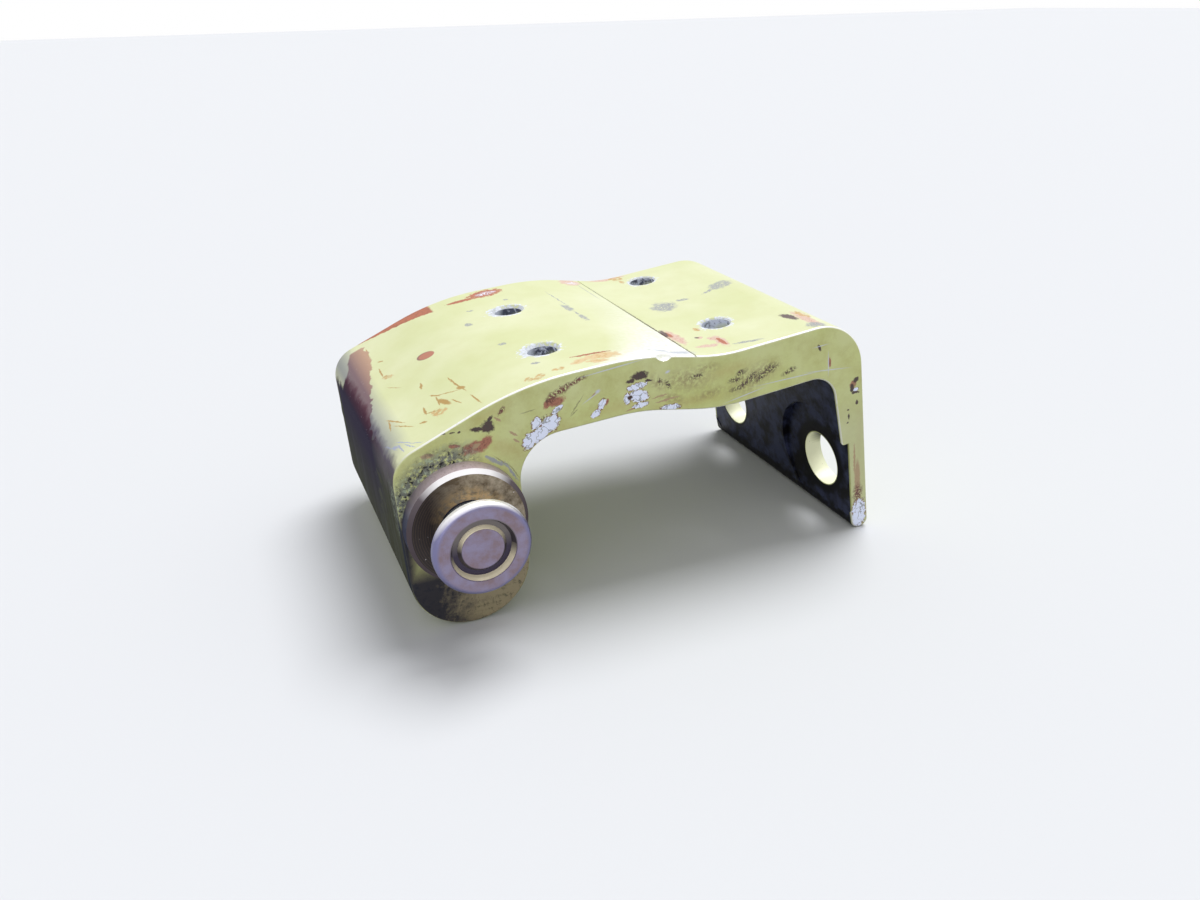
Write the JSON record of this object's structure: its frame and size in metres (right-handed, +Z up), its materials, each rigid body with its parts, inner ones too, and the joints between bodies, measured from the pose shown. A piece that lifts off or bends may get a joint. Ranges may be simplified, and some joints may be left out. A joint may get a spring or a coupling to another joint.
{
  "type": "cabin door hinge",
  "caption": "Bowed door hinge arm with a bushed pivot leg, a headed pivot pin through it, and a bolting flange at the other end.",
  "frame": {"origin": "ground level under the middle of the whole object's box", "axes": "+X from the pivot leg to the bolting flange, +Y along the pin from its head to its tail, +Z up"},
  "size_m": [0.0666, 0.0536, 0.0312],
  "materials": {
    "arm_paint": "semi-gloss yellow-green paint, worn and chipped at the edges",
    "bush_metal": "satin, stained brown with grease",
    "pin_steel": "satin, tarnished"
  },
  "bodies": {
    "arm": {"hinge_arm": "arm_paint", "near_bush": "bush_metal", "far_bush": "bush_metal"},
    "pin": {"pivot_pin": "pin_steel"}
  },
  "joints": [
    {"name": "pin_turn", "type": "hinge", "parent": "arm", "child": "pin", "pos_m": [-0.02554, 0.00135, 0.01455], "axis": [0, 1, 0], "continuous": true}
  ]
}
